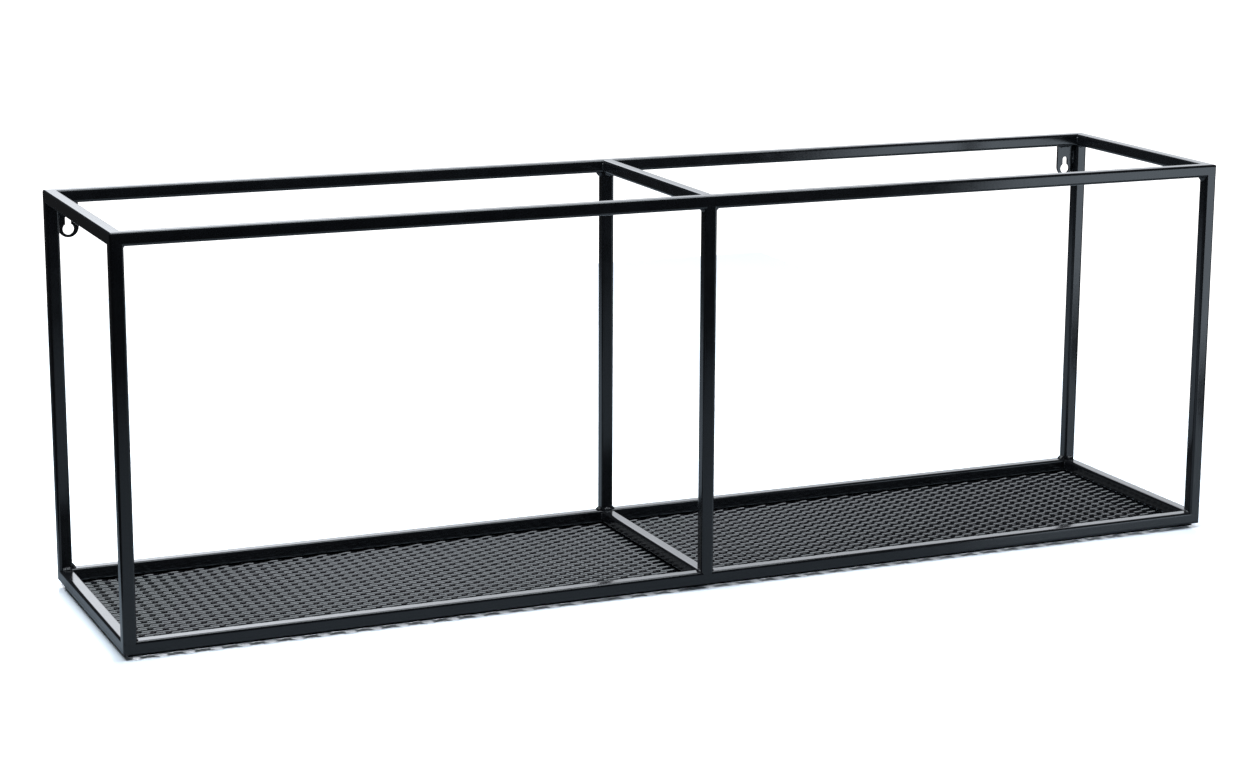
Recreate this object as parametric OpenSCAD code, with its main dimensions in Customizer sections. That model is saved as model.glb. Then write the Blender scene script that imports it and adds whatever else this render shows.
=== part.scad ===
// Wall shelf: a welded frame of square steel tube with an expanded-metal floor and two keyhole hangers.
// Millimetres. X runs along the shelf, +Y points at the wall, +Z is up.
// The origin is below the middle of the floor, level with the lowest strands of the floor.

/* [Frame] */
// overall length of the welded frame, left end to right end
frame_length = 900; // [600:10:1200]
// overall depth of the welded frame, front face to wall face
frame_depth = 205; // [150:1:300]
// overall height of the welded frame, without the floor under it
frame_height = 300; // [200:10:450]

/* [Tube] */
// outer width of the square tube that every rail and post is cut from
tube_size = 10; // [8:1:14]
// wall thickness of the tube
tube_wall = 1.0; // [0.8:0.1:1.2]
// outside corner radius of the tube
tube_corner_r = 2.0; // [1.3:0.1:2.4]

/* [Expanded floor] */
// long pitch of the floor openings, along the shelf
mesh_pitch_x = 19.8; // [16:0.1:30]
// short pitch of the floor openings, front to back
mesh_pitch_y = 9; // [8:0.5:12]
// width of one strand of the expanded sheet
strand_width = 1.5; // [1.2:0.1:1.8]
// thickness of the sheet before it was slit and stretched
sheet_thickness = 1.0; // [0.8:0.1:1.2]
// offset between the centre lines of two strands where they are bonded
bond_offset = 0.2; // [0.1:0.1:0.4]
// how deep two strands run into each other across their width where they are bonded
bond_overlap = 0.05; // [0.03:0.01:0.1]
// least distance from the frame's outer faces in to the edge of the floor
mesh_edge_gap = 2; // [1:0.5:3]
// gap between the two floor sheets, under the middle rail
sheet_joint_gap = 0.4; // [0.2:0.1:1]

/* [Hangers] */
// width of each hanger plate
hanger_width = 15.5; // [14:0.5:20]
// thickness of each hanger plate
hanger_thickness = 2; // [1.5:0.5:3]
// how far each hanger plate reaches down from the top rail
hanger_drop = 26.5; // [25:0.5:34]
// distance from the wall plane in to the back of each hanger plate
hanger_setback = 2; // [1.5:0.5:3]
// diameter of the hole that passes a screw head
keyhole_head_d = 8.5; // [7:0.5:10]
// width of the slot that holds the screw shank
keyhole_slot_w = 4.5; // [3.5:0.5:5]
// metal left between the head hole and the plate's lower end
keyhole_land = 2; // [1.5:0.5:3]
// height from the head hole's centre up to the centre of the slot's round end
keyhole_rise = 8; // [6:1:10]

/* [Welds] */
// leg of each fillet weld bead
weld_leg = 2.5; // [1.5:0.5:3]

/* [Hidden] */
$fa = 6;
$fs = 0.3;
// distance between neighbouring strands of the floor
row_pitch = mesh_pitch_y / 2;
// lean of the strands from the horizontal, so that all bonds lie at one height
strand_lean = acos((strand_width - bond_overlap) / row_pitch);
// how far a strand swings across itself between one bond and the next
strand_swing = row_pitch * sin(strand_lean) - bond_offset;
// length of one sloping run of a strand, measured along the shelf
strand_run = mesh_pitch_x / 2;
// thickness of a sloping run, measured square to the shelf's length
run_thickness = sheet_thickness / cos(atan(strand_swing / strand_run));
// height of the whole floor
mesh_height = (strand_swing + run_thickness) * cos(strand_lean) + strand_width * sin(strand_lean);
// width of one strand row seen from above
row_width = (strand_swing + run_thickness) * sin(strand_lean) + strand_width * cos(strand_lean);
// number of strand rows that fit under the frame
row_count = floor((frame_depth - 2 * mesh_edge_gap - row_width) / row_pitch) + 1;
// number of sloping runs in one strand of a sheet
run_count = floor((frame_length / 2 - mesh_edge_gap - sheet_joint_gap / 2) / strand_run);

// bore of the tube and its corner radius
bore_size = tube_size - 2 * tube_wall;
bore_corner_r = tube_corner_r - tube_wall;
// width of the flat part of a tube face
flat_width = tube_size - 2 * tube_corner_r;
// length of a post between the two rings
post_length = frame_height - 2 * tube_size;
// length of a middle rail between the front and back rails
middle_rail_length = frame_depth - 2 * tube_size;

// distance from the centre planes out to the centre lines of the outer tubes
tube_x = (frame_length - tube_size) / 2;
tube_y = (frame_depth - tube_size) / 2;
// heights of the bottom ring's and the top ring's centre lines
bottom_z = mesh_height + tube_size / 2;
top_z = mesh_height + frame_height - tube_size / 2;
// heights where the posts start and end
foot_z = bottom_z + tube_size / 2;
head_z = top_z - tube_size / 2;

// hanger position: centre line, back face and front face
hanger_x = frame_length / 2 - tube_size - hanger_width / 2;
hanger_back_y = frame_depth / 2 - hanger_setback;
hanger_front_y = hanger_back_y - hanger_thickness;
// centre heights of the hanger's round lower end and of the head hole, below the top rail
hanger_arc_z = hanger_width / 2 - hanger_drop;
keyhole_z = keyhole_land + keyhole_head_d / 2 - hanger_drop;
// front edge of the flat on the back corner posts' inner faces
post_flat_y = tube_y - flat_width / 2;

steel_black = [0.05, 0.05, 0.055];
mesh_black = [0.09, 0.09, 0.1];
weld_black = [0.07, 0.07, 0.075];

// square with rounded corners, centred
module rounded_square(size, radius) {
  square([size, size - 2 * radius], center = true);
  square([size - 2 * radius, size], center = true);
  for (x = [-1, 1], y = [-1, 1])
    translate([x * (size / 2 - radius), y * (size / 2 - radius)])
      circle(r = radius);
}

// cross-section of the tube
module tube_section() {
  difference() {
    rounded_square(tube_size, tube_corner_r);
    rounded_square(bore_size, bore_corner_r);
  }
}

// tube along X, centred, cut square at both ends
module straight_tube(length) {
  rotate([90, 0, 90])
    linear_extrude(height = length, center = true)
      tube_section();
}

// tube along X with both ends mitred at 45 degrees; its long side faces -Y
module mitred_tube(length) {
  intersection() {
    straight_tube(length);
    linear_extrude(height = 2 * tube_size, center = true)
      polygon([[-(length + tube_size) / 2, -tube_size], [(length + tube_size) / 2, -tube_size],
               [(length - 3 * tube_size) / 2, tube_size], [-(length - 3 * tube_size) / 2, tube_size]]);
  }
}

// one long rail of a ring; face is -1 for the front and 1 for the back
module long_rail(face, z) {
  color(steel_black)
    translate([0, face * tube_y, z])
      rotate([0, 0, 90 + face * 90])
        mitred_tube(frame_length);
}

// one end rail of a ring; side is -1 for the left and 1 for the right
module end_rail(side, z) {
  color(steel_black)
    translate([side * tube_x, 0, z])
      rotate([0, 0, side * 90])
        mitred_tube(frame_depth);
}

// rail from front to back across the middle of a ring
module middle_rail(z) {
  color(steel_black)
    translate([0, 0, z])
      rotate([0, 0, 90])
        straight_tube(middle_rail_length);
}

// upright between the rings; side is -1, 0 or 1 and face is -1 or 1
module post(side, face) {
  color(steel_black)
    translate([side * tube_x, face * tube_y, foot_z])
      linear_extrude(height = post_length)
        tube_section();
}

module top_front_rail() { long_rail(-1, top_z); }
module top_back_rail() { long_rail(1, top_z); }
module top_left_rail() { end_rail(-1, top_z); }
module top_right_rail() { end_rail(1, top_z); }
module top_middle_rail() { middle_rail(top_z); }
module bottom_front_rail() { long_rail(-1, bottom_z); }
module bottom_back_rail() { long_rail(1, bottom_z); }
module bottom_left_rail() { end_rail(-1, bottom_z); }
module bottom_right_rail() { end_rail(1, bottom_z); }
module bottom_middle_rail() { middle_rail(bottom_z); }
module front_left_post() { post(-1, -1); }
module front_middle_post() { post(0, -1); }
module front_right_post() { post(1, -1); }
module back_left_post() { post(-1, 1); }
module back_middle_post() { post(0, 1); }
module back_right_post() { post(1, 1); }

// one zigzag strand that starts at the joint; phase is 1 or -1 for neighbouring rows
module strand(phase) {
  run_points = [for (i = [0 : run_count])
    [sheet_joint_gap / 2 + i * strand_run, phase * (i % 2 == 0 ? 1 : -1) * strand_swing / 2]];
  upper = [for (p = run_points) [p[0], p[1] + run_thickness / 2]];
  lower = [for (i = [run_count : -1 : 0]) [run_points[i][0], run_points[i][1] - run_thickness / 2]];
  rotate([strand_lean - 90, 0, 0])
    linear_extrude(height = strand_width, center = true)
      polygon(concat(upper, lower));
}

// raised expanded-metal sheet under the right half: zigzag strands joined at their bonds
module right_floor_sheet() {
  color(mesh_black)
    translate([0, 0, mesh_height / 2])
      for (i = [0 : row_count - 1])
        translate([0, (i - (row_count - 1) / 2) * row_pitch, 0])
          strand(i % 2 == 0 ? 1 : -1);
}

module left_floor_sheet() {
  mirror([1, 0, 0])
    right_floor_sheet();
}

// plate with a round lower end and a keyhole, hung from the top back rail
module hanger(side) {
  color(steel_black)
    translate([side * hanger_x, hanger_back_y, head_z])
      rotate([90, 0, 0])
        linear_extrude(height = hanger_thickness)
          difference() {
            union() {
              translate([-hanger_width / 2, hanger_arc_z])
                square([hanger_width, -hanger_arc_z]);
              translate([0, hanger_arc_z])
                circle(d = hanger_width);
            }
            translate([0, keyhole_z])
              circle(d = keyhole_head_d);
            translate([-keyhole_slot_w / 2, keyhole_z])
              square([keyhole_slot_w, keyhole_rise]);
            translate([0, keyhole_z + keyhole_rise])
              circle(d = keyhole_slot_w);
          }
}

module left_hanger() { hanger(-1); }
module right_hanger() { hanger(1); }

// quarter turn that points a bead's section at the given side and up or down
function bead_turn(across, up) = across > 0 ? (up > 0 ? 0 : 270) : (up > 0 ? 90 : 180);

// fillet bead along Z with its square corner on the axis
module bead(length, turn) {
  linear_extrude(height = length, center = true)
    rotate(turn)
      intersection() {
        circle(r = weld_leg);
        square(weld_leg);
      }
}

// bead along X, filling towards across in Y and up in Z
module bead_x(length, across, up) {
  rotate([90, 0, 90])
    bead(length, bead_turn(across, up));
}

// bead along Y, filling towards across in X and up in Z
module bead_y(length, across, up) {
  rotate([90, 0, 0])
    bead(length, bead_turn(across, up));
}

// beads round one end of every post, except beside the hangers; up is 1 at the feet and -1 at the heads
module post_welds(z, up) {
  for (face = [-1, 1]) {
    for (side = [-1, 1]) {
      if (up > 0 || face < 0)
        translate([side * (tube_x - tube_size / 2), face * tube_y, z])
          bead_y(flat_width, -side, up);
      translate([side * tube_size / 2, face * tube_y, z])
        bead_y(flat_width, side, up);
    }
    for (side = [-1, 0, 1])
      translate([side * tube_x, face * (tube_y - tube_size / 2), z])
        bead_x(flat_width, -face, up);
  }
}

// short beads between the hangers' front faces and the front of the post flats
module post_head_welds() {
  color(weld_black) {
    post_welds(head_z, -1);
    for (side = [-1, 1])
      translate([side * (tube_x - tube_size / 2), (hanger_front_y + post_flat_y) / 2, head_z])
        bead_y(hanger_front_y - post_flat_y, -side, -1);
  }
}

module post_foot_welds() {
  color(weld_black)
    post_welds(foot_z, 1);
}

// upright beads in the inner corners of one ring and beside its middle rail
module ring_welds(z) {
  for (face = [-1, 1], side = [-1, 1]) {
    translate([side * (tube_x - tube_size / 2), face * (tube_y - tube_size / 2), z])
      bead(flat_width, bead_turn(-side, -face));
    translate([side * tube_size / 2, face * (tube_y - tube_size / 2), z])
      bead(flat_width, bead_turn(side, -face));
  }
}

module top_ring_welds() {
  color(weld_black)
    ring_welds(top_z);
}

module bottom_ring_welds() {
  color(weld_black)
    ring_welds(bottom_z);
}

// beads along the front of each hanger: one under the rail and one down the post
module hanger_welds() {
  rail_bead = hanger_width - weld_leg;
  post_bead = -hanger_arc_z - weld_leg;
  color(weld_black)
    for (side = [-1, 1]) {
      translate([side * (hanger_x - weld_leg / 2), hanger_front_y, head_z])
        bead_x(rail_bead, -1, -1);
      translate([side * (tube_x - tube_size / 2), hanger_front_y, head_z - weld_leg - post_bead / 2])
        bead(post_bead, bead_turn(-side, -1));
    }
}

top_front_rail();
top_back_rail();
top_left_rail();
top_right_rail();
top_middle_rail();
bottom_front_rail();
bottom_back_rail();
bottom_left_rail();
bottom_right_rail();
bottom_middle_rail();
front_left_post();
front_middle_post();
front_right_post();
back_left_post();
back_middle_post();
back_right_post();
left_floor_sheet();
right_floor_sheet();
left_hanger();
right_hanger();
post_head_welds();
post_foot_welds();
top_ring_welds();
bottom_ring_welds();
hanger_welds();
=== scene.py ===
import math

import bmesh
import bpy
import numpy as np
from mathutils import Matrix, Vector


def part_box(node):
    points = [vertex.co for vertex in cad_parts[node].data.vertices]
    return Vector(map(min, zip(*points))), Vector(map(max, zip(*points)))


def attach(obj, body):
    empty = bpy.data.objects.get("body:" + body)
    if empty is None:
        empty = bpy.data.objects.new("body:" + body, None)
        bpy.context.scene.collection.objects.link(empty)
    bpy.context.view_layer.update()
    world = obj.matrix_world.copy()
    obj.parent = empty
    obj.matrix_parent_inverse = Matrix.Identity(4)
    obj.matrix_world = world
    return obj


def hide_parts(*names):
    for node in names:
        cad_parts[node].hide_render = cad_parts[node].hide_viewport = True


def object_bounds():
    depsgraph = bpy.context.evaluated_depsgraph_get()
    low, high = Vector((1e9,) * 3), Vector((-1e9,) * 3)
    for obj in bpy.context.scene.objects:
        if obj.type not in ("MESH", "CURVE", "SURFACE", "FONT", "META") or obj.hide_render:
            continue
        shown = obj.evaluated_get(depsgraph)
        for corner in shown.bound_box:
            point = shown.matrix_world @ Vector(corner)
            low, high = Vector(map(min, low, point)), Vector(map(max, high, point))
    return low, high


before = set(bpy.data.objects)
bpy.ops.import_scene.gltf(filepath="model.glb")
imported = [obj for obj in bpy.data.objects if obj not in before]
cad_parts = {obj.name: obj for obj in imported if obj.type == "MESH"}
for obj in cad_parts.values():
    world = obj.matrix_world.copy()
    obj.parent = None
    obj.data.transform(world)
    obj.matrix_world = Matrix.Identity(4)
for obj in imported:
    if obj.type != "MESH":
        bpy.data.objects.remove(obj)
cad_low, cad_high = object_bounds()
dice = np.random.default_rng(12)

# ---------------------------------------------------------------- rails and posts
# Ten rails and six posts of thin square steel tube with rounded corners. The four rails of
# each ring are mitred and welded, and the posts and the middle rails are cut square and butt
# against them. Everything is coated in one go with glossy black powder.
CORNER_REACH = 0.0024     # how far from each edge the flats begin to turn into the corner
CORNER_POWER = 2.4        # 2 is a plain arc; more keeps the shoulders fuller
CORNER_STEPS = 8
CORNER_RADIUS = 0.002
WALL = 0.001
GROUND_STEPS = 5          # facets of half a ring corner, ground round like the tubes' own edges
SAME_PLACE = 1e-6         # corners nearer than this are one corner
FLAT_WEIGHT = 80          # how strongly the large faces set the shading of the corners
COAT_BLACK = (0.0075, 0.008, 0.0095)
COAT_BLACK_THIN = (0.012, 0.0125, 0.0145)
COAT_GLOSS = 0.11
COAT_PEEL = 0.000012      # depth of the orange peel
HAZE_SCALE, SMEAR_SCALE, PEEL_SCALE, NIB_SCALE = 55.0, 16.0, 420.0, 950.0
HAZE_DULL, SMEAR_DULL, NIB_DULL = 0.05, 0.04, 0.1     # what each adds to the roughness
NIB_HEIGHT = 0.35         # how far a nib stands up, as a share of the peel


class Signal:
    """A shader value that plain sums can be made with, such as 1 + 2 * mask."""

    def __init__(self, finish, socket):
        self.finish, self.socket = finish, socket

    def combine(self, operation, first, second=None):
        values = {0: first} if second is None else {0: first, 1: second}
        return self.finish.add("ShaderNodeMath", {"operation": operation}, values)

    def __add__(self, other):
        return self.combine("ADD", self, other)

    def __mul__(self, other):
        return self.combine("MULTIPLY", self, other)

    __radd__ = __add__
    __rmul__ = __mul__


class Finish:
    """One procedural material, built round a Principled shader."""

    def __init__(self, name):
        self.material = bpy.data.materials.new(name)
        self.material.use_nodes = True
        self.tree = self.material.node_tree
        self.shader = self.tree.nodes["Principled BSDF"]

    def connect(self, value, socket):
        if isinstance(value, Signal):
            self.tree.links.new(value.socket, socket)
        else:
            socket.default_value = value

    def add(self, kind, settings, values, output=0):
        """Adds one node; settings are set first, then its sockets."""
        node = self.tree.nodes.new(kind)
        for key, value in settings.items():
            if key == "stops":
                while len(node.color_ramp.elements) < len(value):
                    node.color_ramp.elements.new(0.5)
                for stop, (place, level) in zip(node.color_ramp.elements, value):
                    stop.position, stop.color = place, (level, level, level, 1)
            else:
                setattr(node, key, value)
        for key, value in values.items():
            self.connect(value, node.inputs[key])
        return None if output is None else Signal(self, node.outputs[output])

    def place(self):
        return self.add("ShaderNodeTexCoord", {}, {}, "Object")

    def noise(self, place, scale, detail=2.0, roughness=0.5):
        return self.add(
            "ShaderNodeTexNoise", {},
            {"Vector": place, "Scale": scale, "Detail": detail, "Roughness": roughness})

    def ramp(self, value, *stops):
        return self.add("ShaderNodeValToRGB", {"stops": stops}, {"Fac": value})

    def blend(self, share, first, second):
        return self.add(
            "ShaderNodeMix", {"data_type": "RGBA"},
            {"Factor": share, 6: first if isinstance(first, Signal) else (*first, 1),
             7: second if isinstance(second, Signal) else (*second, 1)}, 2)

    def fade(self, value, start, end, first=0.0, last=1.0):
        """first at start and last at end, smooth between them."""
        return self.add("ShaderNodeMapRange", {"interpolation_type": "SMOOTHSTEP"}, {
            "Value": value, "From Min": start, "From Max": end,
            "To Min": first, "To Max": last})

    def bump(self, height, depth, strength=1.0):
        return self.add(
            "ShaderNodeBump", {}, {"Height": height, "Distance": depth, "Strength": strength})

    def surface(self, **sockets):
        for key, value in sockets.items():
            self.connect(value, self.shader.inputs[key.replace("_", " ")])


def powder_coat(name, base, thin, gloss, peel_depth):
    """Powder coat: a slightly uneven gloss, soft orange peel, a few dust nibs, faint hazing."""
    coat = Finish(name)
    place = coat.place()
    haze = coat.ramp(coat.noise(place, HAZE_SCALE, 4.0, 0.6), (0.35, 0.0), (0.75, 1.0))
    nibs = coat.ramp(coat.noise(place, NIB_SCALE, 1.0), (0.72, 0.0), (0.80, 1.0))
    peel = coat.noise(place, PEEL_SCALE, 2.0, 0.55)
    smear = coat.noise(place, SMEAR_SCALE, 3.0, 0.6)
    coat.surface(
        Base_Color=coat.blend(haze, base, thin),
        Roughness=gloss + HAZE_DULL * haze + SMEAR_DULL * smear + NIB_DULL * nibs,
        Normal=coat.bump(peel + NIB_HEIGHT * nibs, peel_depth),
    )
    return coat.material


tube_coat = powder_coat("tube_powder_coat", COAT_BLACK, COAT_BLACK_THIN, COAT_GLOSS, COAT_PEEL)


def tube_section(size, reach, power):
    """Points round a square section whose flats roll smoothly into its corners."""
    flat = size / 2 - reach
    points = []
    for side, up in ((1, 1), (-1, 1), (-1, -1), (1, -1)):
        corner = []
        for step in range(CORNER_STEPS + 1):
            angle = math.pi / 2 * step / CORNER_STEPS
            corner.append((side * (flat + reach * abs(math.cos(angle)) ** (2 / power)),
                           up * (flat + reach * abs(math.sin(angle)) ** (2 / power))))
        points += corner if side == up else corner[::-1]
    return points


def finish_piece(name, mesh, material, slot, *nodes):
    """Puts a mesh in the scene as the piece that stands for these nodes of the part."""
    piece = bpy.data.objects.new(name, mesh)
    bpy.context.scene.collection.objects.link(piece)
    mesh.materials.append(material)
    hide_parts(*nodes)
    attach(piece, "root")
    return piece


def tube(name, node, axis, mitre=False, outside=1):
    """One tube that fills its node's box. A mitred tube has both ends cut at 45 degrees, with
    its long side facing outside and the ring's corner ground round. Any other tube reaches
    into the rounded edges that it butts against, where the weld was filled and ground flush."""
    low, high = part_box(node)
    middle, size = (low + high) / 2, high - low
    across = 1 if axis == 0 else 0
    over = 3 - axis - across
    width, half = size[across], size[axis] / 2
    outer = tube_section(width, CORNER_REACH, CORNER_POWER)
    bore = tube_section(width - 2 * WALL, CORNER_REACH - WALL, CORNER_POWER)
    mesh = bmesh.new()

    def ring(section, end, turn=None):
        """One loop of the skin; turn is how far round the ground corner it lies."""
        loop = []
        for a, b in section:
            reach = half + CORNER_RADIUS
            if mitre:
                side = a * outside
                reach = half - (width / 2 - side)
            if mitre and turn is not None:
                side = min(side, width / 2 - CORNER_RADIUS * (1 - math.cos(turn)))
                reach = min(half - CORNER_RADIUS * (1 - math.sin(turn)),
                            half - (width / 2 - side))
                a = side * outside
            spot = Vector((0, 0, 0))
            spot[axis], spot[across], spot[over] = end * reach, a, b
            loop.append(mesh.verts.new(middle + spot))
        return loop

    turns = [math.pi / 4 * step / GROUND_STEPS for step in range(GROUND_STEPS + 1)]
    skin = [ring(outer, -1, t) for t in turns[::-1]] if mitre else [ring(outer, -1)]
    skin += [ring(outer, 1, t) for t in turns] if mitre else [ring(outer, 1)]
    chain = skin + [ring(bore, 1), ring(bore, -1)]
    count = len(outer)
    for first, second in zip(chain, chain[1:] + chain[:1]):
        for i in range(count):
            j = (i + 1) % count
            mesh.faces.new((first[i], first[j], second[j], second[i]))
    for loop in (skin[0], skin[-1], chain[-2], chain[-1]):
        for i in range(count):
            mesh.edges.get((loop[i], loop[(i + 1) % count])).smooth = False
    bmesh.ops.remove_doubles(mesh, verts=mesh.verts[:], dist=SAME_PLACE)
    bmesh.ops.recalc_face_normals(mesh, faces=mesh.faces[:])
    for face in mesh.faces:
        face.smooth = True
    data = bpy.data.meshes.new(name)
    mesh.to_mesh(data)
    mesh.free()
    piece = finish_piece(name, data, tube_coat, "black_tube", node)
    flat = piece.modifiers.new("flat_faces", "WEIGHTED_NORMAL")
    flat.mode, flat.weight, flat.keep_sharp = "FACE_AREA", FLAT_WEIGHT, True
    return piece


for ring in ("top", "bottom"):
    tube(f"{ring}_front_tube", f"{ring}_front_rail", 0, True, -1)
    tube(f"{ring}_back_tube", f"{ring}_back_rail", 0, True, 1)
    tube(f"{ring}_left_tube", f"{ring}_left_rail", 1, True, -1)
    tube(f"{ring}_right_tube", f"{ring}_right_rail", 1, True, 1)
    tube(f"{ring}_middle_tube", f"{ring}_middle_rail", 1)
for face in ("front", "back"):
    for place in ("left", "middle", "right"):
        tube(f"{face}_{place}_upright", f"{face}_{place}_post", 2)

# ---------------------------------------------------------------- expanded floor
# One level of raised expanded steel mesh, in two sheets that meet under the middle rail and
# lie against the underside of the bottom ring. Sheet steel is slit and stretched, so every
# strand zigzags between its two neighbours, leans over and stays joined at short bonds.
STRAND_WIDTH = 0.0018
STRAND_THICKNESS = 0.001
STRAND_LEAN = math.radians(38)
STRAND_ROUND = 0.00022    # how far the coat rounds a strand's edges
ROUND_SHOULDER = 0.3      # where the middle of that round lies, as a share of it
STRAND_SLIP = 0.00012     # how far a strand may lie out of step, as one standard deviation
LONG_PITCH = 0.0198
SHORT_PITCH = 0.009
BOND_LENGTH = 0.0036
STRAND_STRAIGHTNESS = 0.5
MESH_PHASE = 0.25         # where in a period the sheets are cut at the joint between them
SHEET_COAT_GLOSS = 0.07
SHEET_BLACK = (0.004, 0.0045, 0.0055)
SHEET_BLACK_THIN = (0.008, 0.0085, 0.01)

sheet_coat = powder_coat(
    "mesh_powder_coat", SHEET_BLACK, SHEET_BLACK_THIN, SHEET_COAT_GLOSS, COAT_PEEL)

FLOOR_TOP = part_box("bottom_front_rail")[0].z
lean_y, lean_z = math.cos(STRAND_LEAN), math.sin(STRAND_LEAN)
SWING_Y = SHORT_PITCH / 2 - STRAND_WIDTH * lean_y
SWING_Z = -STRAND_WIDTH * lean_z
FLOOR_MIDDLE = FLOOR_TOP - (STRAND_WIDTH * lean_z + STRAND_THICKNESS * lean_y / 2)
STRAND_SECTION = [
    (side * (STRAND_WIDTH / 2 - inward), up * (STRAND_THICKNESS / 2 - lower))
    for side, up, corner in ((1, 1, 0), (-1, 1, 1), (-1, -1, 0), (1, -1, 1))
    for inward, lower in ([(0.0, STRAND_ROUND),
                           (STRAND_ROUND * ROUND_SHOULDER, STRAND_ROUND * ROUND_SHOULDER),
                           (STRAND_ROUND, 0.0)][:: -1 if corner else 1])
]
# places along one period, as shares of the long pitch from the middle of a bond
BOND_SHARE = BOND_LENGTH / LONG_PITCH / 2
KNEE_SHARE = 0.035
PERIOD = [-0.5, -0.5 + BOND_SHARE, -0.5 + BOND_SHARE + KNEE_SHARE, -0.25,
          -BOND_SHARE - KNEE_SHARE, -BOND_SHARE, 0.0, BOND_SHARE, BOND_SHARE + KNEE_SHARE,
          0.25, 0.5 - BOND_SHARE - KNEE_SHARE, 0.5 - BOND_SHARE]


def strand_side(share):
    """Which neighbour a strand leans to there: 1 at one bond, -1 at the next."""
    away = abs((share + 0.5) % 1.0 - 0.5)
    if away <= BOND_SHARE:
        return 1.0
    if away >= 0.5 - BOND_SHARE:
        return -1.0
    run = (away - BOND_SHARE) / (0.5 - 2 * BOND_SHARE)
    eased = run * run * (3 - 2 * run)
    return 1 - 2 * (eased * (1 - STRAND_STRAIGHTNESS) + run * STRAND_STRAIGHTNESS)


def floor_sheet(name, node):
    """Every strand of one sheet, as long and as many as the node's box holds."""
    low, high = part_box(node)
    side = 1 if high.x > abs(low.x) else -1
    start = low.x if side > 0 else -high.x
    end = high.x if side > 0 else -low.x
    rows = round((high.y - low.y - STRAND_WIDTH * lean_y) / (SHORT_PITCH / 2))
    middle_y = (low.y + high.y) / 2
    wobble = dice.normal(0, 1, (rows, 3))     # only the first of each three is used
    points, faces = [], []
    for row in range(rows):
        base_y = middle_y + (row - (rows - 1) / 2) * SHORT_PITCH / 2
        offset = 0.0 if row % 2 == 0 else 0.5
        slip = wobble[row, 0] * STRAND_SLIP
        shares = [n + p - MESH_PHASE for n in range(-1, int((end - start) / LONG_PITCH) + 3)
                  for p in PERIOD]
        shares = [s for s in shares if start < start + s * LONG_PITCH + slip < end]
        places = [(start, 0.0)] + [(start + s * LONG_PITCH + slip, s) for s in shares]
        places.append((end, (end - start - slip) / LONG_PITCH))
        previous = None
        for x, share in places:
            sway = strand_side(share + MESH_PHASE + offset) / 2
            centre_y = base_y + sway * SWING_Y
            centre_z = FLOOR_MIDDLE + sway * SWING_Z
            first = len(points)
            for a, b in STRAND_SECTION:
                points.append((side * x, centre_y + a * lean_y - b * lean_z,
                               centre_z + a * lean_z + b * lean_y))
            ring = list(range(first, len(points)))
            if side < 0:
                ring.reverse()
            if previous is None:
                faces.append(ring[::-1])
            else:
                count = len(ring)
                faces += [(previous[i], previous[(i + 1) % count], ring[(i + 1) % count], ring[i])
                          for i in range(count)]
            previous = ring
        faces.append(previous)
    mesh = bpy.data.meshes.new(name)
    mesh.from_pydata(points, [], faces)
    mesh.polygons.foreach_set("use_smooth", [len(f) == 4 for f in faces])
    return finish_piece(name, mesh, sheet_coat, "black_sheet", node)


floor_sheet("left_mesh_floor", "left_floor_sheet")
floor_sheet("right_mesh_floor", "right_floor_sheet")

# ---------------------------------------------------------------- hangers
# Two flat steel plates with a round lower end and a keyhole, for hanging the shelf on screw
# heads. Each is welded in an upper back corner, to the post and under the top back rail.
PLATE_EDGE = 0.0003
PLATE_EDGE_STEPS = 2
PLATE_GLOSS, PLATE_PEEL = 0.15, 0.000016
KEYHOLE_HEAD_R = 0.00425
KEYHOLE_SLOT_R = 0.00225
KEYHOLE_LAND = 0.002
KEYHOLE_RISE = 0.008
ARC_STEPS = 24


def plate_outline(curve, points):
    line = curve.splines.new("POLY")
    line.points.add(len(points) - 1)
    for spot, (x, y) in zip(line.points, points):
        spot.co = (x, y, 0, 1)
    line.use_cyclic_u = True


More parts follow.
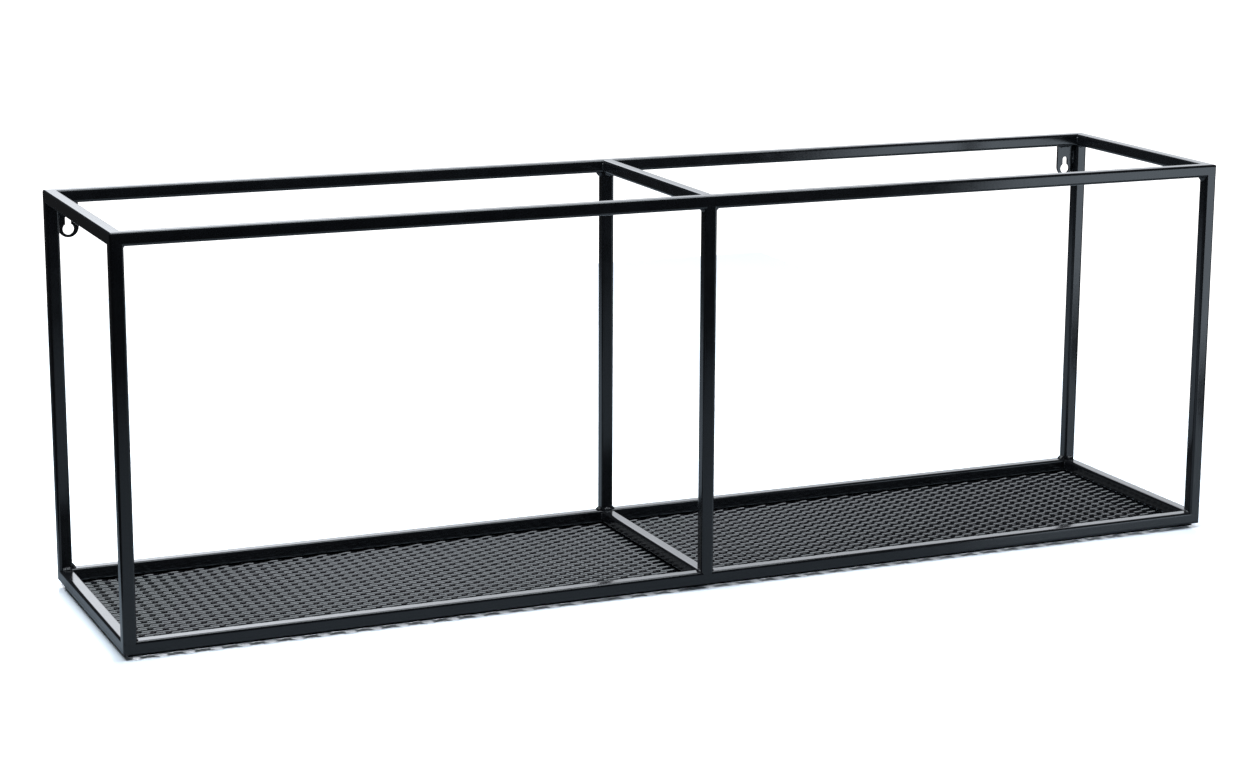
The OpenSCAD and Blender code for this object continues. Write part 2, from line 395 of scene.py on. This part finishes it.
def hanger_plate(name, node):
    """The plate as a filled outline with its edges broken, stood up against the wall side."""
    low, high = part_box(node)
    width, thickness = high.x - low.x, high.y - low.y
    top, radius = high.z, width / 2
    middle_x = (low.x + high.x) / 2
    arc_z = low.z + radius
    outline = [(-radius, top), (-radius, arc_z)]
    for step in range(1, ARC_STEPS):
        angle = math.pi + math.pi * step / ARC_STEPS
        outline.append((radius * math.cos(angle), arc_z + radius * math.sin(angle)))
    outline += [(radius, arc_z), (radius, top)]
    head_z = low.z + KEYHOLE_LAND + KEYHOLE_HEAD_R
    neck = math.asin(KEYHOLE_SLOT_R / KEYHOLE_HEAD_R)
    keyhole = []
    for step in range(ARC_STEPS * 2 + 1):
        angle = math.pi / 2 + neck + (2 * math.pi - 2 * neck) * step / (ARC_STEPS * 2)
        keyhole.append(
            (KEYHOLE_HEAD_R * math.cos(angle), head_z + KEYHOLE_HEAD_R * math.sin(angle)))
    for step in range(ARC_STEPS + 1):
        angle = math.pi * step / ARC_STEPS
        keyhole.append((KEYHOLE_SLOT_R * math.cos(angle),
                        head_z + KEYHOLE_RISE + KEYHOLE_SLOT_R * math.sin(angle)))
    curve = bpy.data.curves.new(name, "CURVE")
    curve.dimensions, curve.fill_mode = "2D", "BOTH"
    plate_outline(curve, outline)
    plate_outline(curve, keyhole)
    curve.extrude = thickness / 2 - PLATE_EDGE
    curve.bevel_depth, curve.offset = PLATE_EDGE, -PLATE_EDGE
    curve.bevel_resolution = PLATE_EDGE_STEPS
    pattern = bpy.data.objects.new("plate_pattern", curve)
    bpy.context.scene.collection.objects.link(pattern)
    pieces = bpy.context.evaluated_depsgraph_get()
    mesh = bpy.data.meshes.new_from_object(pattern.evaluated_get(pieces))
    bpy.data.objects.remove(pattern)
    mesh.name = name
    mesh.transform(Matrix.Translation((middle_x, (low.y + high.y) / 2, 0))
                   @ Matrix.Rotation(math.pi / 2, 4, "X"))
    mesh.materials.clear()
    joined = bmesh.new()
    joined.from_mesh(mesh)
    bmesh.ops.remove_doubles(joined, verts=joined.verts[:], dist=SAME_PLACE)
    joined.to_mesh(mesh)
    joined.free()
    piece = finish_piece(name, mesh, plate_coat, "black_plate", node)
    mesh.polygons.foreach_set("use_smooth", [True] * len(mesh.polygons))
    flat = piece.modifiers.new("flat_faces", "WEIGHTED_NORMAL")
    flat.mode, flat.weight, flat.keep_sharp = "FACE_AREA", FLAT_WEIGHT, False
    return piece


plate_coat = powder_coat(
    "plate_powder_coat", COAT_BLACK, COAT_BLACK_THIN, PLATE_GLOSS, PLATE_PEEL)
hanger_plate("left_hanger_plate", "left_hanger")
hanger_plate("right_hanger_plate", "right_hanger")

# ---------------------------------------------------------------- weld beads
# Short hand-laid beads in the inside corners of the frame: round every post's foot and head,
# in the corners of both rings and along the hangers. Most are thin and a few are fat, and all
# are left as laid, lumpy and rippled, and coated with the rest.
BEAD_RIPPLE = 0.0011      # distance from one ripple to the next
RIPPLE_STEPS = 6          # rings of points in one ripple
FEWEST_STEPS = 10
RIPPLE_SHARE = 0.07       # how far ripples and swells change the bead, as shares of its size
SLOW_SWELL, SLOW_SWELL_SHARE = 700, 0.13
QUICK_SWELL, QUICK_SWELL_SHARE = 1900, 0.07
TAPER_POWER = 3.2         # more keeps the bead full nearer to its ends
LEAST_TAPER = 0.06
BEAD_LEAN = 0.12          # how much further a bead may climb one face than the other
BEAD_ARC_STEPS = 8
BEAD_SINK = 0.0004
WELD_GLOSS, WELD_PEEL = 0.13, 0.00006
weld_coat = powder_coat("weld_powder_coat", COAT_BLACK, COAT_BLACK_THIN, WELD_GLOSS, WELD_PEEL)


def lay_bead(mesh, corner, along, out_a, out_b, length, leg, belly=0.28):
    """A bead centred on a point of an inside corner. along runs with the corner, out_a and
    out_b point away from it on the two faces, and leg is how far it climbs each."""
    corner, along, out_a, out_b = (Vector(v) for v in (corner, along, out_a, out_b))
    steps = max(FEWEST_STEPS, int(length / BEAD_RIPPLE * RIPPLE_STEPS))
    lean = dice.uniform(-BEAD_LEAN, BEAD_LEAN)
    drift = dice.uniform(0, 6.28, 3)
    rings = []
    for step in range(steps + 1):
        share = step / steps * 2 - 1
        taper = max(LEAST_TAPER, 1 - abs(share) ** TAPER_POWER) ** 0.5
        run = share * length / 2
        ripple = 1 + RIPPLE_SHARE * math.cos(run / BEAD_RIPPLE * 2 * math.pi + drift[0])
        swell = (1 + SLOW_SWELL_SHARE * math.sin(run * SLOW_SWELL + drift[1])
                 + QUICK_SWELL_SHARE * math.sin(run * QUICK_SWELL + drift[2]))
        reach = leg * taper * ripple * swell
        ring = [corner + along * run - (out_a + out_b) * BEAD_SINK]
        for k in range(BEAD_ARC_STEPS + 1):
            angle = k / BEAD_ARC_STEPS * math.pi / 2
            a, b = math.cos(angle), math.sin(angle)
            straight = a + b
            bulge = (1 / straight) * (1 - belly) + belly
            a, b = a * bulge * (1 + lean), b * bulge * (1 - lean)
            point = corner + along * run + out_a * (a * reach) + out_b * (b * reach)
            point -= (out_b * BEAD_SINK * (1 - b) * (k == 0)
                      + out_a * BEAD_SINK * (1 - a) * (k == BEAD_ARC_STEPS))
            ring.append(point)
        rings.append([mesh.verts.new(p) for p in ring])
    count = len(rings[0])
    for first, second in zip(rings, rings[1:]):
        for i in range(count):
            j = (i + 1) % count
            mesh.faces.new((first[i], first[j], second[j], second[i]))
    mesh.faces.new(rings[0])
    mesh.faces.new(rings[-1][::-1])


def beads(name, node, laid):
    """One group of beads as one piece; laid holds each bead's corner, directions and size."""
    mesh = bmesh.new()
    for bead in laid:
        lay_bead(mesh, *bead)
    bmesh.ops.recalc_face_normals(mesh, faces=mesh.faces[:])
    for face in mesh.faces:
        face.smooth = True
    data = bpy.data.meshes.new(name)
    mesh.to_mesh(data)
    mesh.free()
    return finish_piece(name, data, weld_coat, "black_weld", node)


left_post_low, left_post_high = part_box("front_left_post")
TUBE = left_post_high.x - left_post_low.x
FOOT_Z, HEAD_Z = left_post_low.z, left_post_high.z
TUBE_X = -(left_post_low.x + left_post_high.x) / 2
TUBE_Y = -(left_post_low.y + left_post_high.y) / 2
FLAT = TUBE - 2 * CORNER_RADIUS
LEG = 0.0024
BEAD_REACH = 1.1          # length of a bead, as a share of a tube's flat
# least and greatest size of each kind of bead, as shares of LEG
THIN_BEAD, FAT_BEAD = (0.5, 0.75), (1.35, 1.6)
MIDDLE_FOOT_BEAD, MIDDLE_HEAD_BEAD = (0.9, 1.2), (0.9, 1.1)
X, Y, Z = Vector((1, 0, 0)), Vector((0, 1, 0)), Vector((0, 0, 1))


def post_beads(z, up, hanger_side, heavy):
    """Beads round one end of every post; the hanger takes the place of two at the heads.
    Most are thin, and heavy gives the sizes at the posts, by face and side, that have more."""
    laid = []
    for face in (-1, 1):
        for side in (-1, 0, 1):
            thin, fat = heavy.get((face, side), THIN_BEAD)
            post = Vector((side * TUBE_X, face * TUBE_Y, z))
            for turn in (-1, 1) if side == 0 else (-side,):
                if not (hanger_side and face > 0 and side):
                    laid.append((post + X * turn * TUBE / 2, Y, X * turn, Z * up,
                                 FLAT * BEAD_REACH, LEG * dice.uniform(thin, fat)))
            laid.append((post - Y * face * TUBE / 2, X, -Y * face, Z * up,
                         FLAT * BEAD_REACH, LEG * dice.uniform(thin, fat)))
    return laid


beads("post_foot_beads", "post_foot_welds", post_beads(
    FOOT_Z, 1, False, {(1, -1): FAT_BEAD, (1, 1): FAT_BEAD, (1, 0): MIDDLE_FOOT_BEAD}))
beads("post_head_beads", "post_head_welds", post_beads(
    HEAD_Z, -1, True, {(-1, 1): FAT_BEAD, (-1, 0): MIDDLE_HEAD_BEAD, (1, 0): FAT_BEAD}))

SLIM_BEAD = (0.35, 0.5)
UPRIGHT_REACH = 0.9       # length of an upright bead, as a share of a tube's flat


def ring_beads(ring):
    """Upright beads in the inside corners of one ring and beside its middle rail."""
    low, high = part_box(f"{ring}_front_rail")
    z = (low.z + high.z) / 2
    laid = []
    for face in (-1, 1):
        for side in (-1, 1):
            for x, turn in ((side * (TUBE_X - TUBE / 2), -side), (side * TUBE / 2, side)):
                laid.append((Vector((x, face * (TUBE_Y - TUBE / 2), z)), Z, X * turn, -Y * face,
                             FLAT * UPRIGHT_REACH, LEG * dice.uniform(*SLIM_BEAD)))
    return laid


for ring in ("top", "bottom"):
    beads(f"{ring}_ring_beads", f"{ring}_ring_welds", ring_beads(ring))

# length as a share of the hanger's side, and size as a share of LEG
HANGER_TOP_BEAD, HANGER_SIDE_BEAD = (0.8, 0.9), (0.5, 0.95)
HANGER_SIDE_DROP = 0.36   # how far down the side its bead is centred

hanger_laid = []
for node, side in (("left_hanger", -1), ("right_hanger", 1)):
    low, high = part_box(node)
    post_x = high.x if side > 0 else low.x
    hanger_laid.append((Vector(((low.x + high.x) / 2 - side * LEG / 2, low.y, high.z)), X, -Y, -Z,
                        (high.x - low.x) * HANGER_TOP_BEAD[0], LEG * HANGER_TOP_BEAD[1]))
    drop = (high.z - low.z) * HANGER_SIDE_DROP
    hanger_laid.append((Vector((post_x, low.y, high.z - drop)), Z, -X * side, -Y,
                        (high.z - low.z) * HANGER_SIDE_BEAD[0], LEG * HANGER_SIDE_BEAD[1]))
beads("hanger_beads", "hanger_welds", hanger_laid)

# ---------------------------------------------------------------- studio
# A pale, slightly shiny table in a white studio. A large soft panel hangs above and another
# stands at the front right, the room is bright behind and beside the shelf and dark in front.
# The table is not one colour: it has a painted shadow under the shelf, seen by the camera, and
# painted shade behind its left end, seen in the shelf's reflections.
TABLE_PALE = (0.52, 0.585, 0.65)      # what the shelf reflects
TABLE_WHITE = (1.65, 1.72, 1.82)      # what the camera sees, brighter than real paint
TABLE_PAINTED_SHADOW = (0.06, 0.065, 0.075)   # painted shadow: what the camera sees under the shelf
TABLE_PAINTED_SHADE = (0.1, 0.12, 0.14)         # painted shade, reflected from behind the left end
PAINTED_SHADE_NEAR, PAINTED_SHADE_FAR = -0.05, 0.4        # from where to where that end's painted shade deepens
TABLE_ROUGH, TABLE_UNEVEN, TABLE_UNEVEN_SCALE = 0.12, 0.06, 3.0
SHADE_INSET = 0.008
TABLE_LEFT, TABLE_RIGHT, TABLE_FRONT, TABLE_BACK = -0.58, 0.68, -0.85, 1.2

table = bpy.data.meshes.new("table")
table.from_pydata(
    [(TABLE_LEFT, TABLE_FRONT, cad_low.z), (TABLE_RIGHT, TABLE_FRONT, cad_low.z),
     (TABLE_RIGHT, TABLE_BACK, cad_low.z), (TABLE_LEFT, TABLE_BACK, cad_low.z)],
    [], [(0, 1, 2, 3)])
table_top = bpy.data.objects.new("table_top", table)
bpy.context.scene.collection.objects.link(table_top)
table_paint = Finish("table_white")
straight_look = table_paint.add("ShaderNodeLightPath", {}, {}, "Is Camera Ray")
table_place = table_paint.place()


def table_band(across, reach):
    """1 on the table under the shelf along one axis, where its shadow is painted, 0 outside it.
    """
    distance = across.combine("ABSOLUTE", across)
    return distance.combine("LESS_THAN", distance, reach)


table_x = table_paint.add("ShaderNodeSeparateXYZ", {}, {0: table_place}, "X")
table_y = table_paint.add("ShaderNodeSeparateXYZ", {}, {0: table_place}, "Y")
# Painted shade: what the shelf reflects of the table is painted darker behind its left end
painted_shade = table_paint.fade(table_x, cad_low.x + SHADE_INSET, cad_low.x)
painted_shade = painted_shade * table_paint.fade(table_y, PAINTED_SHADE_NEAR, PAINTED_SHADE_FAR)
# Painted shadow: for the camera the table is painted dark under the shelf
painted_shadow = table_band(table_x, cad_high.x - SHADE_INSET)
painted_shadow = painted_shadow * table_band(table_y, cad_high.y - SHADE_INSET)
table_paint.surface(
    Base_Color=table_paint.blend(
        straight_look, table_paint.blend(painted_shade, TABLE_PALE, TABLE_PAINTED_SHADE),
        table_paint.blend(painted_shadow, TABLE_WHITE, TABLE_PAINTED_SHADOW)),
    Roughness=TABLE_ROUGH + TABLE_UNEVEN * table_paint.noise(table_place, TABLE_UNEVEN_SCALE))
table.materials.append(table_paint.material)

ROOM_DARK = 0.03
BACKDROP_LOW, BACKDROP_HIGH = 1.5, 3.3
BACKDROP_RIGHT_LOW, BACKDROP_RIGHT_HIGH = 0.76, 0.56
# where each part of the room fades in, as shares of a direction: to the back, right or up
BACK_EDGE, RIGHT_EDGE, FAR_RIGHT_EDGE = (0.3, 0.55), (0.02, 0.16), (0.22, 0.4)
RISE, RIGHT_RISE, ROOF_EDGE = (0.1, 0.3), (0.12, 0.28), (0.8, 0.55)
ROOM_SEEN = 1.6           # brightness of the plain white that shows past the shelf
ROOM_TINT = (0.9, 0.94, 1, 1)

room = bpy.data.worlds.new("room")
bpy.context.scene.world = room
room.use_nodes = True


class Room(Finish):
    """The same way of adding nodes, for the room's light."""

    def __init__(self, world):
        self.tree = world.node_tree
        self.tree.nodes.clear()


light = Room(room)
direction = light.add("ShaderNodeTexCoord", {}, {}, "Generated")
to_right = light.add("ShaderNodeSeparateXYZ", {}, {0: direction}, "X")
to_back = light.add("ShaderNodeSeparateXYZ", {}, {0: direction}, "Y")
upward = light.add("ShaderNodeSeparateXYZ", {}, {0: direction}, "Z")
backdrop = light.fade(to_back, *BACK_EDGE) * light.fade(to_right, *RIGHT_EDGE)
backdrop = backdrop * light.fade(upward, *RISE, BACKDROP_LOW, BACKDROP_HIGH)
right_share = light.fade(upward, *RIGHT_RISE, BACKDROP_RIGHT_LOW, BACKDROP_RIGHT_HIGH)
backdrop = backdrop * light.fade(to_right, *FAR_RIGHT_EDGE, 1.0, right_share)
backdrop = backdrop * light.fade(upward, *ROOF_EDGE)
glow = ROOM_DARK + backdrop
seen = light.add("ShaderNodeBackground", {}, {"Color": (1, 1, 1, 1), "Strength": ROOM_SEEN})
felt = light.add("ShaderNodeBackground", {}, {"Color": ROOM_TINT, "Strength": glow})
to_camera = light.add("ShaderNodeLightPath", {}, {}, "Is Camera Ray")
mixed = light.add("ShaderNodeMixShader", {}, {0: to_camera, 1: felt, 2: seen})
light.add("ShaderNodeOutputWorld", {}, {"Surface": mixed}, None)


def soft_panel(name, place, aim, width, height, brightness, colour):
    """A soft light, whose power is worked out from how bright its reflection should be."""
    lamp = bpy.data.lights.new(name, "AREA")
    lamp.shape, lamp.size, lamp.size_y = "RECTANGLE", width, height
    lamp.energy = brightness * math.pi * width * height
    lamp.color = colour
    panel = bpy.data.objects.new(name, lamp)
    bpy.context.scene.collection.objects.link(panel)
    panel.location = place
    panel.rotation_euler = (Vector(aim) - Vector(place)).to_track_quat("-Z", "Y").to_euler()
    panel.visible_camera = False


soft_panel("overhead_panel", (-0.2, 0.05, 1.3), (-0.2, 0.05, 0.0), 1.8, 0.8,
           5.6, (0.86, 0.94, 1.0))
soft_panel("front_right_panel", (1.265, -1.0, 0.15), (1.265, 0.0, 0.15), 1.0, 0.5,
           2.6, (0.76, 0.88, 1.0))

# ---------------------------------------------------------------- camera
# A long lens, in front of the left end and a little above the top of the shelf, with a small
# shift that frames the shelf. Its place is measured from the underside of the bottom ring.
CAMERA_PLACE = Vector((-0.908433, -2.032736, 0.638523))
CAMERA_RIGHT = Vector((0.902039, -0.431458, 0.013019))
CAMERA_UP = Vector((0.084058, 0.205163, 0.975112))
LENS_LENGTH, SENSOR_WIDTH = 83.75, 36
LENS_SHIFT = (-0.0889, -0.0021)
camera_data = bpy.data.cameras.new("camera")
camera_data.lens, camera_data.sensor_width = LENS_LENGTH, SENSOR_WIDTH
camera_data.shift_x, camera_data.shift_y = LENS_SHIFT
camera = bpy.data.objects.new("camera", camera_data)
bpy.context.scene.collection.objects.link(camera)
back = CAMERA_RIGHT.cross(CAMERA_UP)
camera.matrix_world = (Matrix.Translation(CAMERA_PLACE + Vector((0, 0, FLOOR_TOP)))
                       @ Matrix((CAMERA_RIGHT, CAMERA_UP, back)).transposed().to_4x4())
bpy.context.scene.camera = camera
bpy.context.scene.view_settings.view_transform = "Standard"
